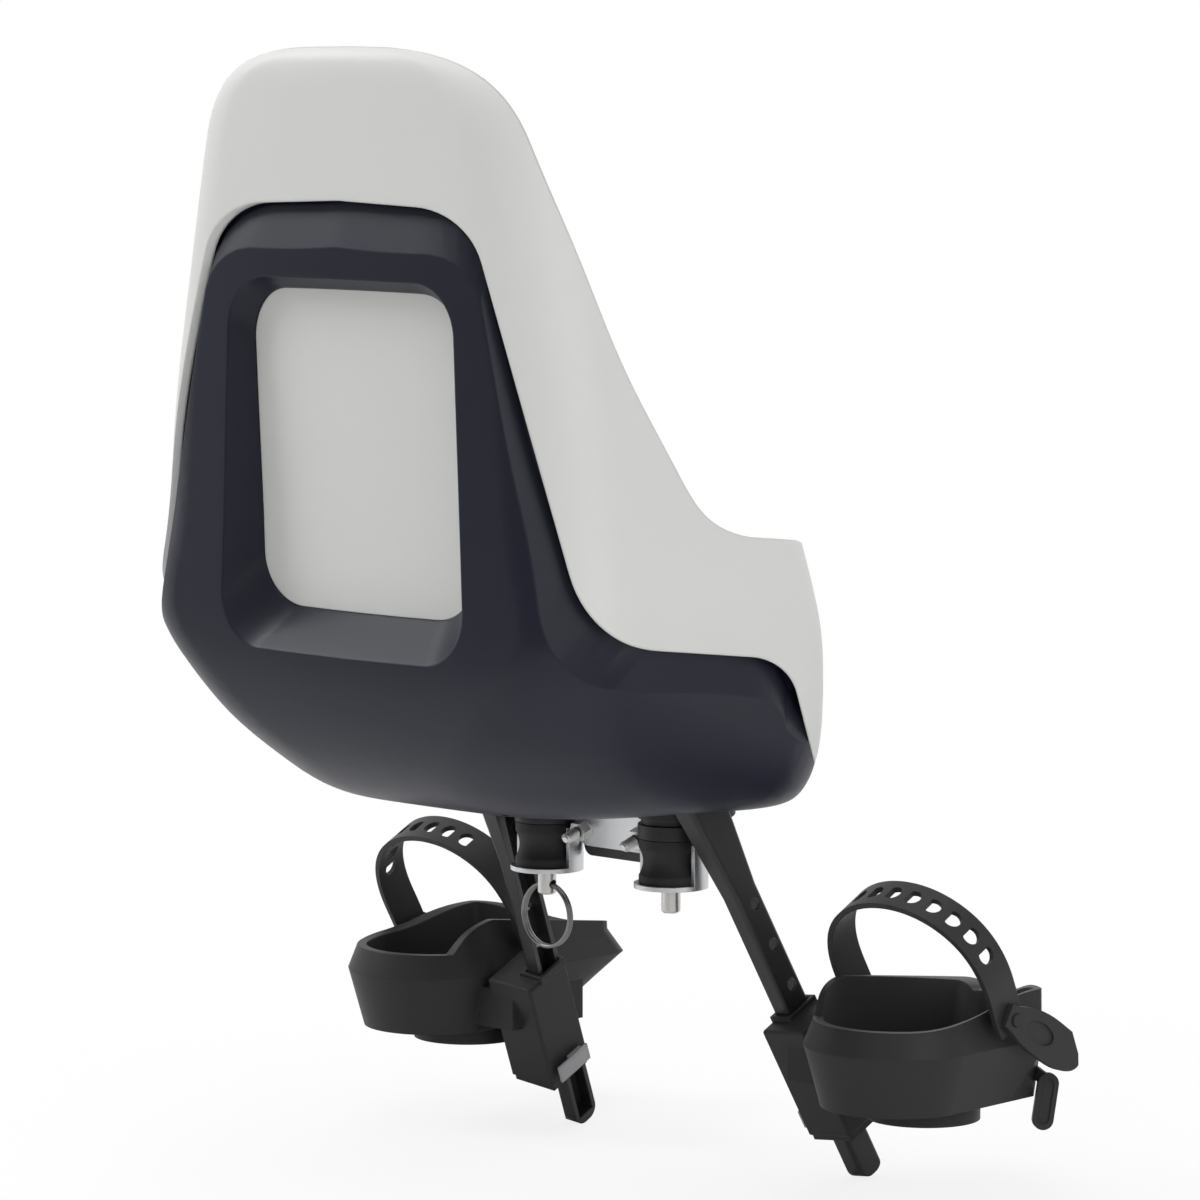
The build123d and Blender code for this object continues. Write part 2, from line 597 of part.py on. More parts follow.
bridge = box_between(100, 134, -36, 20, -124, -102) + box_between(104, 134, -34, -8, -139, -107)
bridge = fillet(bridge.edges().filter_by(Axis.X).group_by(Axis.Z)[0], 8)
stud = Pos(HEEL_X, STRAP_Y, STRAP_Z) * Rot(-STRAP_LEAN, 0, 0) * Pos(0, 0, 6 - STRAP_TAIL) * Rot(0, 90, 0)
stud_inner = stud * rod(STUD_R, -STRAP_HALF - 4, -HEEL_R + 6.5)
stud_outer = stud * rod(STUD_R, HEEL_R - 6.5, STRAP_HALF + 6.5)
footrest = cup_at * cup + bar_plane * (sleeve + base + collar_lip) + bridge
footrest -= cup_at * inside
footrest += cup_at * sole_pad
footrest += stud_inner + stud_outer
footrest -= bar_plane * (bore + slot)
pair("footrest", footrest)

button = box_between(sleeve_in - 5.2, sleeve_in - 3.2, SLEEVE_REAR - 12.5, SLEEVE_REAR + 12.5, button_z - 5, button_z + 5)
button = chamfer(button.edges().group_by(Axis.X)[0], 0.8)
button += box_between(sleeve_in - 4, sleeve_in + 3.5, -slot_half + 0.3, slot_half - 0.3, button_z - 3.7, button_z + 3.7)
pair("release_button", bar_plane * button)

screw_head = Pos(129, -21, -139.9) * Cylinder(3.2, 1.8)
screw_head -= Pos(129, -21, -141) * Cylinder(1.5, 1.4)
pair("sleeve_screw", screw_head)

# Foot straps: a perforated rubber band over the instep, buttoned on the outer wall
strap_line = Spline((-STRAP_HALF - 0.3, 0, -STRAP_TAIL), (-STRAP_HALF, 0, -0.3 * STRAP_TAIL),
                    (-STRAP_HALF - 1, 0, 0.25 * STRAP_RISE), (-0.88 * STRAP_HALF, 0, 0.64 * STRAP_RISE),
                    (-0.5 * STRAP_HALF, 0, 0.91 * STRAP_RISE), (0, 0, STRAP_RISE),
                    (0.5 * STRAP_HALF, 0, 0.91 * STRAP_RISE), (0.88 * STRAP_HALF, 0, 0.64 * STRAP_RISE),
                    (STRAP_HALF + 1, 0, 0.25 * STRAP_RISE), (STRAP_HALF, 0, -0.3 * STRAP_TAIL),
                    (STRAP_HALF + 0.3, 0, -STRAP_TAIL))
strap_at = Location((HEEL_X, STRAP_Y, STRAP_Z), (-STRAP_LEAN, 0, 0))


def beside(line, share, gap):
    return line.position_at(share) + line.tangent_at(share).cross(Vector(0, 1, 0)) * gap


shares = [k / 24 for k in range(25)]
with BuildSketch(Plane.XZ) as band:
    with BuildLine():
        over = Spline(*[(p.X, p.Z) for p in (beside(strap_line, k, STRAP_THICK / 2) for k in shares)])
        under = Spline(*[(p.X, p.Z) for p in (beside(strap_line, k, -STRAP_THICK / 2) for k in shares)])
        Line(over @ 0, under @ 0)
        Line(over @ 1, under @ 1)
    make_face()
strap = extrude(band.sketch, STRAP_WIDE / 2, both=True)
for k in range(8):
    share = 0.38 + 0.058 * k
    spot = strap_line.position_at(share)
    along = strap_line.tangent_at(share)
    face = Plane(origin=spot, x_dir=along, z_dir=along.cross(Vector(0, 1, 0)))
    with BuildSketch() as dee:
        Circle(4.8)
        with Locations((-5.6, 0)):
            Rectangle(6, 20, mode=Mode.SUBTRACT)
    strap -= face * extrude(dee.sketch, 6, both=True)
strap = strap_at * strap
strap -= stud * Cylinder(STUD_R + 0.15, 2 * STRAP_HALF + 40)
pair("foot_strap", strap)

# Pull tab: the leaf that lifts the strap off its stud, and the small tail below the toe
tab_from = Vector(219.3, -12.4, -78.6)
tab_to = Vector(223.8, -62.4, -105.6)
tab_along = (tab_to - tab_from).normalized()
tab_out = (Vector(1, 0.12, 0) - tab_along * tab_along.dot(Vector(1, 0.12, 0))).normalized()
tab_plane = Plane(origin=tab_from, x_dir=tab_along, z_dir=tab_out)
with BuildSketch() as leaf:
    with BuildLine():
        Spline((0, 6), (14, 9.5), (34, 12), (52, 11), (61, 4), tangents=((1, 0.1), (0.2, -1)))
        Polyline((61, 4), (58, -1), (48, -9.5))
        Spline((48, -9.5), (34, -11), (14, -9.5), (0, -6), tangents=((-1, -0.1), (-1, 0.1)))
        Line((0, -6), (0, 6))
    make_face()
tab = extrude(leaf.sketch, 3.5)
with BuildSketch(Plane.XY.offset(2.3)) as dimple:
    with Locations((26, 0)):
        Ellipse(11, 5.5)
tab -= extrude(dimple.sketch, 4)
pull_tab = tab_plane * tab
pull_tab -= stud * Cylinder(STUD_R + 0.15, 2 * STRAP_HALF + 60)
pair("pull_tab", pull_tab)

with BuildSketch() as oval:
    SlotOverall(30, 11)
tail = extrude(oval.sketch, 4.5)
with BuildSketch(Plane.XY.offset(3.5)) as oval_in:
    SlotOverall(24, 6)
tail -= extrude(oval_in.sketch, 4)
tail_plane = Plane(origin=(208.0, -60.2, -132.0), x_dir=(0.05, -0.16, 0.985), z_dir=(0.72, 0.68, 0.07))
pair("strap_tail", tail_plane * tail)

# Liner: a back pad and a seat pad that follow the bucket
lining = cavity_form(-PAD_GAP) - cavity_form(-PAD_GAP - LINER_THICK)
with BuildSketch(Plane.XZ.offset(-150)) as back_area:
    with Locations((0, (BACK_PAD_TOP + PAD_SPLIT + 1) / 2)):
        RectangleRounded(2 * BACK_PAD_HALF, BACK_PAD_TOP - PAD_SPLIT - 1, 30)
back_pad = lining & extrude(back_area.sketch, -120)
pieces["back_pad"] = back_pad
with BuildSketch(Plane.XY) as seat_area:
    with Locations((0, 136)):
        RectangleRounded(2 * SEAT_PAD_HALF, 140, 34)
seat_pad = lining & extrude(seat_area.sketch, PAD_SPLIT - 1)
pieces["seat_pad"] = seat_pad

# Harness: two shoulder webs lying on the pads, crotch web and buckle
pad_top = FLOOR_Z + PAD_GAP + LINER_THICK
lie = PAD_GAP + LINER_THICK + 1.4 + WEB_THICK / 2


def back_surface(z):
    return panel_line(z) - BACK_WALL - lie - FLOOR_Y * quarter((FLOOR_TOP - z) / (FLOOR_TOP - FLOOR_Z - lie), 2.0)


def ribbon(points, wide, thick, x):
    line = Spline(*[(0, y, z) for y, z in points])
    spots = [k / 40 for k in range(41)]
    with BuildSketch(Plane.YZ) as face:
        with BuildLine():
            upper = []
            lower = []
            for k in spots:
                spot = line.position_at(k)
                across = line.tangent_at(k).cross(Vector(1, 0, 0)) * (thick / 2)
                upper.append((spot.Y + across.Y, spot.Z + across.Z))
                lower.append((spot.Y - across.Y, spot.Z - across.Z))
            first = Spline(*upper)
            second = Spline(*lower)
            Line(first @ 0, second @ 0)
            Line(first @ 1, second @ 1)
        make_face()
    return Pos(x, 0, 0) * extrude(face.sketch, wide / 2, both=True)


web_low = FLOOR_Z + lie
run = [(panel_line(WEB_TOP) - 0.9, WEB_TOP - 0.4), (panel_line(WEB_TOP) - 7, WEB_TOP - 1.2)]
run += [(back_surface(z), z) for z in (282, 250, 210, 170, 140, 125, 108, 94, 84)]
run += [(back_surface(web_low + 2.2), web_low + 2.2), (150, web_low), (138, web_low)]
web = ribbon(run, WEB_WIDE, WEB_THICK, WEB_X_TOP)
with BuildSketch(Plane.XY.offset(web_low - WEB_THICK / 2)) as slant:
    half = WEB_WIDE / 2
    with BuildLine():
        Polyline((WEB_X_TOP - half, 138), (WEB_X_TOP + half, 138), (WEB_X_LOW + 9, 130 - 6),
                 (WEB_X_LOW - 9, 130 - 6), close=True)
    make_face()
web += extrude(slant.sketch, WEB_THICK)
pair("shoulder_web", web)

buckle_low = pad_top + PAD_GAP
buckle = box_between(-BUCKLE_HALF, BUCKLE_HALF, BUCKLE_Y - BUCKLE_LONG / 2, BUCKLE_Y + BUCKLE_LONG / 2,
                     buckle_low, buckle_low + BUCKLE_HIGH)
buckle = fillet(buckle.edges().filter_by(Axis.Z), 9)
buckle = fillet(buckle.edges().group_by(Axis.Z)[-1], 3)
push_at = Pos(0, BUCKLE_Y - 2, buckle_low + BUCKLE_HIGH)
buckle -= push_at * Pos(0, 0, -6) * extrude(RectangleRounded(24, 20, 5), 12)
tongue_z = buckle_low + 5
rear_y = BUCKLE_Y + BUCKLE_LONG / 2
for x in (-WEB_X_LOW, WEB_X_LOW):
    buckle -= box_between(x - 8.3, x + 8.3, rear_y - 14, rear_y + 5, tongue_z - 1.3, tongue_z + 1.3)
front_y = BUCKLE_Y - BUCKLE_LONG / 2
buckle -= box_between(-13, 13, front_y - 5, front_y + 9, tongue_z - 3.2, tongue_z + 1.4)
pieces["buckle_body"] = buckle
push = push_at * Pos(0, 0, -3.1) * extrude(RectangleRounded(23.4, 19.4, 4.7), 2.8)
pieces["buckle_button"] = push

tongue_plate = box_between(WEB_X_LOW - 8, WEB_X_LOW + 8, rear_y - 13, rear_y + 8, tongue_z - 1, tongue_z + 1)
tongue_plate = fillet(tongue_plate.edges().filter_by(Axis.Z), 2)
pair("buckle_tongue", tongue_plate)

strip = [(CROTCH_Y, FLOOR_Z - BACK_WALL + 0.4), (CROTCH_Y, FLOOR_Z + 2), (CROTCH_Y + 3, pad_top + 1),
         (CROTCH_Y + 9, tongue_z - 1), (front_y - 4, tongue_z - 0.6), (front_y + 8, tongue_z - 0.6)]
pieces["crotch_web"] = ribbon(strip, WEB_WIDE, WEB_THICK, 0)

for name, shape in pieces.items():
    print(name, len(shape.solids()), round(shape.volume / 1000, 1), shape.is_valid)
    export_step(shape, f"parts/{name}.step")
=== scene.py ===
import json
import math

import bmesh
import bpy
from mathutils import Matrix, Vector
from mathutils.bvhtree import BVHTree


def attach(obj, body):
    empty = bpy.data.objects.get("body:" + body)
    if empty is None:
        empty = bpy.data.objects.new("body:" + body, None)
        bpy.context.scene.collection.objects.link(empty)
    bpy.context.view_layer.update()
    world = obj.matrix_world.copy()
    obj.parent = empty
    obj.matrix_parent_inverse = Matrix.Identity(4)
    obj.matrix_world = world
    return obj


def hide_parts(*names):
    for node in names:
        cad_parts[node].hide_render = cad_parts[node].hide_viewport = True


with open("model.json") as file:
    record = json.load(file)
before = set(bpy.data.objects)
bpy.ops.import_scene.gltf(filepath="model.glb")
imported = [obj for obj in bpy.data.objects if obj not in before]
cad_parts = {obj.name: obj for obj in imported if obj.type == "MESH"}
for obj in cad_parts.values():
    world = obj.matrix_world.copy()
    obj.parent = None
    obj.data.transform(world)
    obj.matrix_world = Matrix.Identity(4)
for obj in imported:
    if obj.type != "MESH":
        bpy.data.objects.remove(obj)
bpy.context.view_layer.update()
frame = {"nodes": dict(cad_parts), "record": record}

nodes = frame["nodes"]
bodyOf = {node: body for body, names in frame["record"]["behaviour"]["bodies"].items() for node in names}
slotOf = {part["node"]: part["material_slot"] for part in frame["record"]["subparts"]}
mm = 0.001


def srgb(r, g, b):
    # eight-bit screen colour to the linear colour a shader takes
    line = [c / 255 for c in (r, g, b)]
    line = [c / 12.92 if c <= 0.04045 else ((c + 0.055) / 1.055) ** 2.4 for c in line]
    return (*line, 1.0)


# shader maths on sockets

class Val:
    def __init__(self, shading, socket):
        self.shading = shading
        self.socket = socket

    def math(self, operation, other=0.0, swap=False):
        pair = (other, self) if swap else (self, other)
        return self.shading.node("ShaderNodeMath", {"operation": operation}, {0: pair[0], 1: pair[1]})

    def __add__(self, other):
        return self.math("ADD", other)

    def __radd__(self, other):
        return self.math("ADD", other, True)

    def __sub__(self, other):
        return self.math("SUBTRACT", other)

    def __rsub__(self, other):
        return self.math("SUBTRACT", other, True)

    def __mul__(self, other):
        return self.math("MULTIPLY", other)

    def __rmul__(self, other):
        return self.math("MULTIPLY", other, True)

    def __abs__(self):
        return self.math("ABSOLUTE")

    def most(self, other):
        return self.math("MAXIMUM", other)

    def sine(self):
        return self.math("SINE")

    def wave(self):
        return self.sine() * 0.5 + 0.5  # a sine between 0 and 1

    def step(self, low, high, start=0.0, end=1.0):
        return self.shading.node("ShaderNodeMapRange", {"interpolation_type": "SMOOTHSTEP"},
                                 {"Value": self, "From Min": low, "From Max": high,
                                  "To Min": start, "To Max": end})


class Shading:
    def __init__(self, owner):
        owner.use_nodes = True
        self.tree = owner.node_tree

    def feed(self, socket, value):
        if isinstance(value, Val):
            self.tree.links.new(value.socket, socket)
        else:
            socket.default_value = value

    def node(self, kind, settings=None, inputs=None, out=0):
        made = self.tree.nodes.new(kind)
        for key, value in (settings or {}).items():
            setattr(made, key, value)
        for key, value in (inputs or {}).items():
            self.feed(made.inputs[key], value)
        return Val(self, made.outputs[out])

    def place(self):
        return self.node("ShaderNodeTexCoord", out="Object")

    def axes(self):
        split = self.node("ShaderNodeSeparateXYZ", {}, {"Vector": self.place()}).socket.node
        return {axis: Val(self, split.outputs[axis]) for axis in "XYZ"}

    def ray(self, kind):
        return self.node("ShaderNodeLightPath", out=f"Is {kind} Ray")

    def noise(self, where, scale, detail):
        return self.node("ShaderNodeTexNoise", {}, {"Vector": where, "Scale": scale, "Detail": detail})

    def blend(self, share, first, second):
        return self.node("ShaderNodeMix", {"data_type": "RGBA"}, {0: share, 6: first, 7: second}, out=2)

    def between(self, share, first, second):
        return self.node("ShaderNodeMix", {"data_type": "FLOAT"}, {0: share, 2: first, 3: second})

    def softEdge(self, radius, samples=6):
        return self.node("ShaderNodeBevel", {"samples": samples}, {"Radius": radius})

    def bump(self, height, distance, strength, edge):
        return self.node("ShaderNodeBump", {}, {"Height": height, "Distance": distance,
                                                "Strength": strength, "Normal": edge})


class Finish(Shading):
    def __init__(self, name):
        self.material = bpy.data.materials.new(name)
        super().__init__(self.material)
        self.shader = self.tree.nodes["Principled BSDF"]

    def set(self, **inputs):
        for key, value in inputs.items():
            self.feed(self.shader.inputs[key.replace("_", " ")], value)


# moulded and rubber finishes: edge and grainDepth in mm, grain and patch are texture scales

plasticLooks = {
    "shell_white": {"colour": srgb(214, 214, 212), "rough": 0.46, "sheen": 0.30, "grain": 2600, "edge": 2.2},
    "frame_navy": {"colour": srgb(27, 29, 42), "rough": 0.40, "sheen": 0.28, "grain": 2600, "edge": 1.6},
    "black_plastic": {"colour": srgb(34, 34, 35), "rough": 0.45, "sheen": 0.40, "grain": 2400, "edge": 0.7},
    "footrest_black": {"colour": srgb(44, 44, 45), "rough": 0.50, "sheen": 0.22, "grain": 2200, "edge": 1.2},
    "bar_black": {"colour": srgb(32, 32, 33), "rough": 0.36, "sheen": 0.45, "grain": 2600, "edge": 0.6},
    "black_rubber": {"colour": srgb(32, 32, 33), "rough": 0.60, "sheen": 0.35, "grain": 1800, "edge": 0.8},
    "strap_rubber": {"colour": srgb(48, 48, 49), "rough": 0.50, "sheen": 0.25, "grain": 1800, "edge": 0.6},
    "button_grey": {"colour": srgb(152, 152, 154), "rough": 0.42, "sheen": 0.40, "grain": 2400, "edge": 0.6},
    "button_red": {"colour": srgb(168, 40, 36), "rough": 0.40, "sheen": 0.45, "grain": 2400, "edge": 0.8},
}
moulding = {"patch": 22.0, "patchDetail": 3.0, "patchRough": 0.05, "grainDetail": 1.0, "grainDepth": 0.04,
            "grainStrength": 0.35}


def grainedPlastic(name, look):
    fin = Finish(name)
    where = fin.place()
    patch = fin.noise(where, moulding["patch"], moulding["patchDetail"])
    grain = fin.noise(where, look["grain"], moulding["grainDetail"])
    edge = fin.softEdge(look["edge"] * mm)
    fin.set(Base_Color=look["colour"], Specular_IOR_Level=look["sheen"],
            Roughness=look["rough"] + moulding["patchRough"] * (patch - 0.5),
            Normal=fin.bump(grain, moulding["grainDepth"] * mm, moulding["grainStrength"], edge))
    return fin.material


finishes = {name: grainedPlastic(name, look) for name, look in plasticLooks.items()}

# metal finishes: edge in mm, cloud is a texture scale

metalLooks = {
    "pin_steel": {"colour": srgb(208, 207, 204), "rough": 0.30, "streak": 0.05, "edge": 0.5},
    "zinc_sheet": {"colour": srgb(214, 215, 217), "rough": 0.40, "streak": 0.06, "edge": 0.5},
    "zinc_bolt": {"colour": srgb(212, 212, 210), "rough": 0.38, "streak": 0.05, "edge": 0.3},
    "ring_wire": {"colour": srgb(128, 128, 130), "rough": 0.30, "streak": 0.05, "edge": 0.2},
}
plating = {"cloud": 160.0, "detail": 3.0}


def brightMetal(name, look):
    fin = Finish(name)
    cloud = fin.noise(fin.place(), plating["cloud"], plating["detail"])
    fin.set(Base_Color=look["colour"], Metallic=1.0,
            Roughness=look["rough"] + look["streak"] * (cloud - 0.5),
            Normal=fin.softEdge(look["edge"] * mm))
    return fin.material


finishes.update({name: brightMetal(name, look) for name, look in metalLooks.items()})

# foam of the pads, with a row of stitches in each sewn channel
# patch and cell are texture scales, stitch is radians per metre, and lengths are mm

padLooks = {
    "back_pad": {"along": "Z", "channels": (132, 184, 236)},
    "seat_pad": {"along": "Y", "channels": (146, 176)},
}
padFoam = {"colour": srgb(52, 55, 68), "shade": srgb(43, 46, 58), "rough": 0.85, "edge": 1.0,
           "patch": 30.0, "patchDetail": 3.0, "patchFade": (0.3, 0.7),
           "cell": 900.0, "depth": 0.15, "bump": 0.5,
           "thread": srgb(104, 108, 122), "threadHalf": 0.45, "threadFade": 0.72, "threadRise": 4.0,
           "stitch": 1400.0, "stitchFade": (-0.45, -0.15)}


def foam(name, look, pad):
    fin = Finish(name)
    where = fin.place()
    axes = fin.axes()
    cells = fin.node("ShaderNodeTexVoronoi", {}, {"Vector": where, "Scale": look["cell"]})
    patch = fin.noise(where, look["patch"], look["patchDetail"])
    rows = None
    for channel in pad["channels"]:
        off = abs(axes[pad["along"]] - channel * mm)
        row = 1 - off.step(look["threadHalf"] * mm, look["threadFade"] * mm)
        rows = rows.most(row) if rows else row
    stitches = rows * (axes["X"] * look["stitch"]).sine().step(*look["stitchFade"])
    cloth = fin.blend(patch.step(*look["patchFade"]), look["shade"], look["colour"])
    relief = cells + look["threadRise"] * stitches
    fin.set(Base_Color=fin.blend(stitches, cloth, look["thread"]), Roughness=look["rough"],
            Normal=fin.bump(relief, look["depth"] * mm, look["bump"], fin.softEdge(look["edge"] * mm)))
    return fin.material


padFinishes = {node: foam(node + "_foam", padFoam, pad) for node, pad in padLooks.items()}

# harness webbing, ribs along it and coarser picks across
# rib and pick are radians per metre, edge and depth are mm

webbing = {"colour": srgb(44, 44, 46), "shade": srgb(29, 29, 31), "rough": 0.80, "edge": 0.5,
           "rib": 4200.0, "pick": 2520.0, "ribShare": 0.6, "pickShare": 0.4, "depth": 0.12, "bump": 0.6}


def woven(name, look):
    fin = Finish(name)
    axes = fin.axes()
    ribs = (axes["X"] * look["rib"]).wave()
    picks = ((axes["Z"] - axes["Y"]) * look["pick"]).wave()
    weave = ribs * look["ribShare"] + picks * look["pickShare"]
    fin.set(Base_Color=fin.blend(weave, look["shade"], look["colour"]), Roughness=look["rough"],
            Normal=fin.bump(weave, look["depth"] * mm, look["bump"], fin.softEdge(look["edge"] * mm)))
    return fin.material


finishes["webbing"] = woven("webbing", webbing)
print("finishes", len(finishes) + len(padFinishes))

# copies of the CAD pieces, smooth between their real edges, angles in degrees

sharpAngles = {"default": 32.0, "outer_frame": 16.0, "footrest": 24.0, "foot_strap": 40.0,
               "split_ring": 60.0, "bracket_rivet": 40.0}
weld = 0.002  # mm


def sharpAngle(node):
    stem = node.replace("_left", "").replace("_right", "")
    return math.radians(sharpAngles.get(stem, sharpAngles["default"]))


def mergedCopy(node):
    mesh = bmesh.new()
    mesh.from_mesh(nodes[node].data)
    bmesh.ops.remove_doubles(mesh, verts=mesh.verts, dist=weld * mm)
    return mesh


def addObject(name, mesh, finish):
    data = bpy.data.meshes.new(name)
    mesh.to_mesh(data)
    mesh.free()
    data.materials.append(finish)
    made = bpy.data.objects.new(name, data)
    bpy.context.scene.collection.objects.link(made)
    return made


def settle(name, mesh, node):
    slot = slotOf[node]
    piece = addObject(name, mesh, padFinishes.get(node) or finishes[slot])
    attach(piece, bodyOf[node])
    return piece


def smoothCopy(node):
    mesh = mergedCopy(node)
    limit = sharpAngle(node)
    for face in mesh.faces:
        face.smooth = True
    for edge in mesh.edges:
        edge.smooth = len(edge.link_faces) == 2 and edge.calc_face_angle(0.0) < limit
    piece = settle(node + "_skin", mesh, node)
    even = piece.modifiers.new("even", "WEIGHTED_NORMAL")
    even.keep_sharp = True
    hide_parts(node)
    return piece


skins = {node: smoothCopy(node) for node in sorted(nodes) if node not in padLooks}
print("skins", len(skins))

# cushions of the pads, swelled between the bucket and their sewn channels, sizes in mm

stuffing = {"voxel": 3.2, "drawIn": 1.3, "sink": 2.4, "channelHalf": 3.4, "pressure": 4.0, "frames": 20,
            "cap": 5.0, "toChild": Vector((0, -0.8, 0.6)), "bucketSide": -0.2, "childSide": 0.3,
            "proud": {"back_pad": 0.9, "seat_pad": 0.15}, "within": -0.1}


def bakeModifiers(piece):
    graph = bpy.context.evaluated_depsgraph_get()
    done = bpy.data.meshes.new_from_object(piece.evaluated_get(graph))
    piece.modifiers.clear()
    piece.data = done


def drawIn(node):
    # the pad a little smaller than its solid, in small even faces
    solid = mergedCopy(node)
    solid.normal_update()
    space = BVHTree.FromBMesh(solid)
    for vert in solid.verts:
        vert.co -= vert.normal * (stuffing["drawIn"] * mm)
    piece = settle(node + "_cushion", solid, node)
    fine = piece.modifiers.new("fine", "REMESH")
    fine.mode = "VOXEL"
    fine.voxel_size = stuffing["voxel"] * mm
    bakeModifiers(piece)
    return piece, space


def sewDown(piece, space, pad):
    # held on the bucket side, and sunk and held along the channels
    held = piece.vertex_groups.new(name="held")
    axis = "XYZ".index(pad["along"])
    for vert in piece.data.vertices:
        normal = space.find_nearest(vert.co)[1]
        if normal.dot(stuffing["toChild"]) < stuffing["bucketSide"]:
            held.add([vert.index], 1.0, "REPLACE")
            continue
        off = min(abs(vert.co[axis] / mm - channel) for channel in pad["channels"])
        if off < stuffing["channelHalf"]:
            share = 0.5 + 0.5 * math.cos(math.pi * off / stuffing["channelHalf"])
            vert.co -= normal * (stuffing["sink"] * share * mm)
            held.add([vert.index], share, "REPLACE")


def swell(piece):
    cloth = piece.modifiers.new("stuffing", "CLOTH")
    cloth.settings.use_pressure = True
    cloth.settings.uniform_pressure_force = stuffing["pressure"]
    cloth.settings.effector_weights.gravity = 0.0
    cloth.settings.vertex_group_mass = "held"
    cloth.collision_settings.use_collision = False
    for step in range(1, stuffing["frames"] + 1):
        bpy.context.scene.frame_set(step)
    bakeModifiers(piece)
    bpy.context.scene.frame_set(1)


def keepInside(piece, space, starts, proud):
    # in the space of the solid, a little proud only towards the child
    cap = stuffing["cap"] * mm
    for vert, start in zip(piece.data.vertices, starts):
        move = vert.co - start
        if move.length > cap:
            vert.co = start + move.normalized() * cap
        spot, normal = space.find_nearest(vert.co)[:2]
        facesChild = normal.dot(stuffing["toChild"]) > stuffing["childSide"]
        room = (proud if facesChild else stuffing["within"]) * mm
        out = (vert.co - spot).dot(normal)
        if out > room:
            vert.co -= normal * (out - room)


def cushion(node, pad):
    piece, space = drawIn(node)
    sewDown(piece, space, pad)
    starts = [vert.co.copy() for vert in piece.data.vertices]
    swell(piece)
    keepInside(piece, space, starts, stuffing["proud"][node])
    for face in piece.data.polygons:
        face.use_smooth = True
    finer = piece.modifiers.new("finer", "SUBSURF")
    finer.levels = 1
    finer.render_levels = 1
    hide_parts(node)
    return piece


pads = {node: cushion(node, pad) for node, pad in padLooks.items()}
print("pads", {node: len(pad.data.vertices) for node, pad in pads.items()})

# screw threads on the bare ends of the clamp bolts, sizes in mm and tilt in degrees

boltThread = {"x": 21.0, "z": 14.0, "start": 50.2, "turns": 7.0, "pitch": 1.2, "root": 2.45, "crest": 3.05,
              "shank": 3.0, "shoulder": 0.4, "buried": 0.2, "snap": 0.0001, "steps": 22, "tilt": -18.0}


def turnDown(side, sign):
    # the bare end of the shank down to the thread's root, on the copy
    look = boltThread
    skin = skins["clamp_bolt_" + side].data
    level = Matrix.Rotation(math.radians(-look["tilt"]), 4, "X")
    middle = Vector((sign * look["x"], 0, look["z"])) * mm
    shoulder = look["start"] - look["shoulder"]
    mesh = bmesh.new()
    mesh.from_mesh(skin)
    bmesh.ops.transform(mesh, matrix=level, verts=mesh.verts)
    for spot in (shoulder, look["start"]):
        bmesh.ops.bisect_plane(mesh, geom=mesh.verts[:] + mesh.edges[:] + mesh.faces[:],
                               dist=look["snap"] * mm, plane_co=(0, spot * mm, 0), plane_no=(0, 1, 0))
    bare = [vert for vert in mesh.verts if vert.co.y > (shoulder + look["start"]) / 2 * mm]
    share = look["root"] / look["shank"]
    bmesh.ops.scale(mesh, vec=(share, 1, share), space=Matrix.Translation(-middle), verts=bare)
    bmesh.ops.transform(mesh, matrix=level.inverted(), verts=mesh.verts)
    mesh.to_mesh(skin)
    mesh.free()


def cutThread(side, sign):
    look = boltThread
    mesh = bmesh.new()
    middle = Vector((sign * look["x"], 0, look["z"]))
    foot = look["root"] - look["buried"]
    tooth = [(foot, 0.0), (look["crest"], 0.5 * look["pitch"]), (foot, look["pitch"])]
    corners = [mesh.verts.new(middle + Vector((out, look["start"] + rise, 0))) for out, rise in tooth]
    mesh.faces.new(corners)
    bmesh.ops.spin(mesh, geom=mesh.verts[:] + mesh.edges[:] + mesh.faces[:], cent=middle, axis=(0, 1, 0),
                   dvec=(0, look["pitch"] / look["steps"], 0), angle=2 * math.pi * look["turns"],
                   steps=round(look["steps"] * look["turns"]), use_merge=False)
    bmesh.ops.scale(mesh, vec=(mm, mm, mm), verts=mesh.verts)
    tilt = Matrix.Rotation(math.radians(look["tilt"]), 3, "X")
    bmesh.ops.rotate(mesh, cent=(0, 0, 0), matrix=tilt, verts=mesh.verts)
    bmesh.ops.recalc_face_normals(mesh, faces=mesh.faces)
    return settle("bolt_thread_" + side, mesh, "clamp_bolt_" + side)


# rubber neck between the toe and the small tail of each foot strap, sizes in mm

tailNeck = {"toe": Vector((200.5, -59.8, -117.0)), "tail": Vector((209.8, -59.4, -121.0)), "wide": 7.0,
            "thick": 3.4, "round": 1.2, "segments": 3}


def joinTail(side, sign):
    look = tailNeck
    run = look["tail"] - look["toe"]
    mesh = bmesh.new()
    bmesh.ops.create_cube(mesh, size=1.0)
    bmesh.ops.scale(mesh, vec=(run.length, look["thick"], look["wide"]), verts=mesh.verts)
    bmesh.ops.bevel(mesh, geom=mesh.edges[:], offset=look["round"], segments=look["segments"], profile=0.5,
                    affect="EDGES", material=-1)
    turn = run.to_track_quat("X", "Z").to_matrix()
    bmesh.ops.rotate(mesh, cent=(0, 0, 0), matrix=turn, verts=mesh.verts)
    bmesh.ops.translate(mesh, vec=(look["toe"] + look["tail"]) / 2, verts=mesh.verts)
    bmesh.ops.scale(mesh, vec=(sign * mm, mm, mm), verts=mesh.verts)
    bmesh.ops.recalc_face_normals(mesh, faces=mesh.faces)
    for face in mesh.faces:
        face.smooth = True
    return settle("tail_neck_" + side, mesh, "strap_tail_" + side)


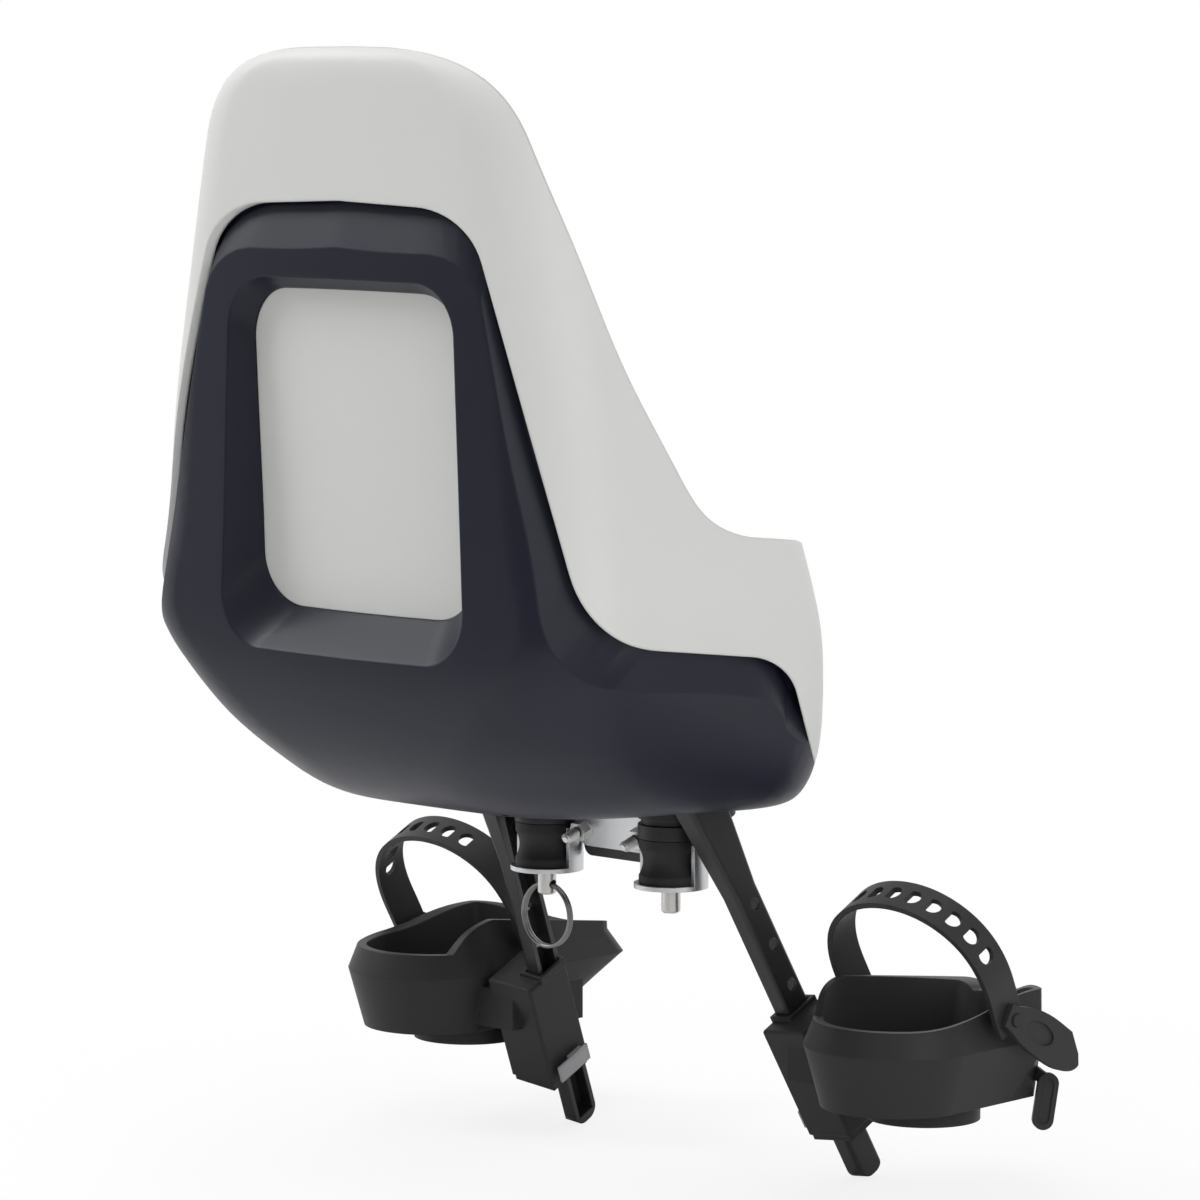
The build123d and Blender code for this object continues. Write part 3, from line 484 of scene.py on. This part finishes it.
added = []
for side, sign in (("left", 1), ("right", -1)):
    turnDown(side, sign)
    added += [cutThread(side, sign), joinTail(side, sign)]
print("threads and necks", len(added))

# camera, in metres, degrees and lens mm

view = {"target": (0.0, 0.0565, 0.124), "turn": 43.2, "rise": 6.04, "distance": 2.8, "lens": 159.6,
        "sensor": 36.0, "far": 50.0}


def setCamera():
    turn = math.radians(view["turn"])
    rise = math.radians(view["rise"])
    back = Vector((-math.sin(turn) * math.cos(rise), math.cos(turn) * math.cos(rise), math.sin(rise)))
    lens = bpy.data.cameras.new("camera")
    lens.lens = view["lens"]
    lens.sensor_width = view["sensor"]
    lens.clip_end = view["far"]
    camera = bpy.data.objects.new("camera", lens)
    camera.location = Vector(view["target"]) + view["distance"] * back
    camera.rotation_euler = (-back).to_track_quat("-Z", "Y").to_euler()
    bpy.context.scene.collection.objects.link(camera)
    bpy.context.scene.camera = camera


# floor and light, in metres and watts

white = (1, 1, 1, 1)
stage = {"floor": -0.1841, "size": 1.1, "colour": srgb(246, 246, 246), "rough": 0.9, "white": 0.82,
         "fade": (0.25, 0.70)}


def backdropFinish():
    # white to the eye away from the seat, with the soft shadow kept below it
    fin = Finish("floor")
    fin.set(Base_Color=stage["colour"], Roughness=stage["rough"])
    away = fin.node("ShaderNodeVectorMath", {"operation": "LENGTH"}, {0: fin.place()}, out="Value")
    share = fin.ray("Camera") * away.step(*stage["fade"], stage["white"], 1.0)
    base = Val(fin, fin.shader.outputs["BSDF"])
    glow = fin.node("ShaderNodeEmission", {}, {"Color": white, "Strength": 1.0})
    mixed = fin.node("ShaderNodeMixShader", {}, {0: share, 1: base, 2: glow})
    fin.feed(fin.tree.nodes["Material Output"].inputs["Surface"], mixed)
    return fin.material


def layFloor():
    mesh = bmesh.new()
    bmesh.ops.create_grid(mesh, x_segments=1, y_segments=1, size=stage["size"],
                          matrix=Matrix.Translation((0, 0, stage["floor"])))
    floor = addObject("floor", mesh, backdropFinish())


lamps = {
    "key": {"place": (-1.2, 2.6, 1.0), "size": 1.4, "power": 6.5},
    "fill": {"place": (-2.6, 0.3, 1.0), "size": 2.0, "power": 23.0},
    "left": {"place": (1.65, 1.05, 1.6), "size": 1.0, "power": 25.0},
    "top": {"place": (-0.1, 0.5, 2.6), "size": 2.0, "power": 20.0},
    "front": {"place": (0.5, -2.6, 1.5), "size": 1.8, "power": 12.0},
}


def hangLamps():
    aim = Vector(view["target"])
    for name, look in lamps.items():
        lamp = bpy.data.lights.new(name, "AREA")
        lamp.shape = "DISK"
        lamp.size = look["size"]
        lamp.energy = look["power"]
        holder = bpy.data.objects.new(name, lamp)
        holder.location = look["place"]
        holder.rotation_euler = (aim - holder.location).to_track_quat("-Z", "Y").to_euler()
        bpy.context.scene.collection.objects.link(holder)


studio = {"diffuse": 0.42, "backdrop": 1.0, "room": 0.14, "toBackdrop": (0.68, -0.72, 0.0),
          "edge": (-0.25, 0.45)}


def lightWorld():
    # a white backdrop, with a dimmer room behind the camera for the gloss to pick up
    world = bpy.data.worlds.new("studio")
    bpy.context.scene.world = world
    sky = Shading(world)
    direction = sky.node("ShaderNodeTexCoord", out="Generated")
    facing = sky.node("ShaderNodeVectorMath", {"operation": "DOT_PRODUCT"},
                      {0: direction, 1: studio["toBackdrop"]}, out="Value")
    gloss = facing.step(*studio["edge"], studio["room"], studio["backdrop"])
    shine = sky.ray("Glossy").most(sky.ray("Transmission"))
    level = sky.between(shine, studio["diffuse"], gloss)
    level = sky.between(sky.ray("Camera"), level, studio["backdrop"])
    background = sky.tree.nodes["Background"]
    sky.feed(background.inputs["Color"], white)
    sky.feed(background.inputs["Strength"], level)


setCamera()
layFloor()
hangLamps()
lightWorld()
bpy.context.scene.view_settings.view_transform = "Standard"
print("stage set")
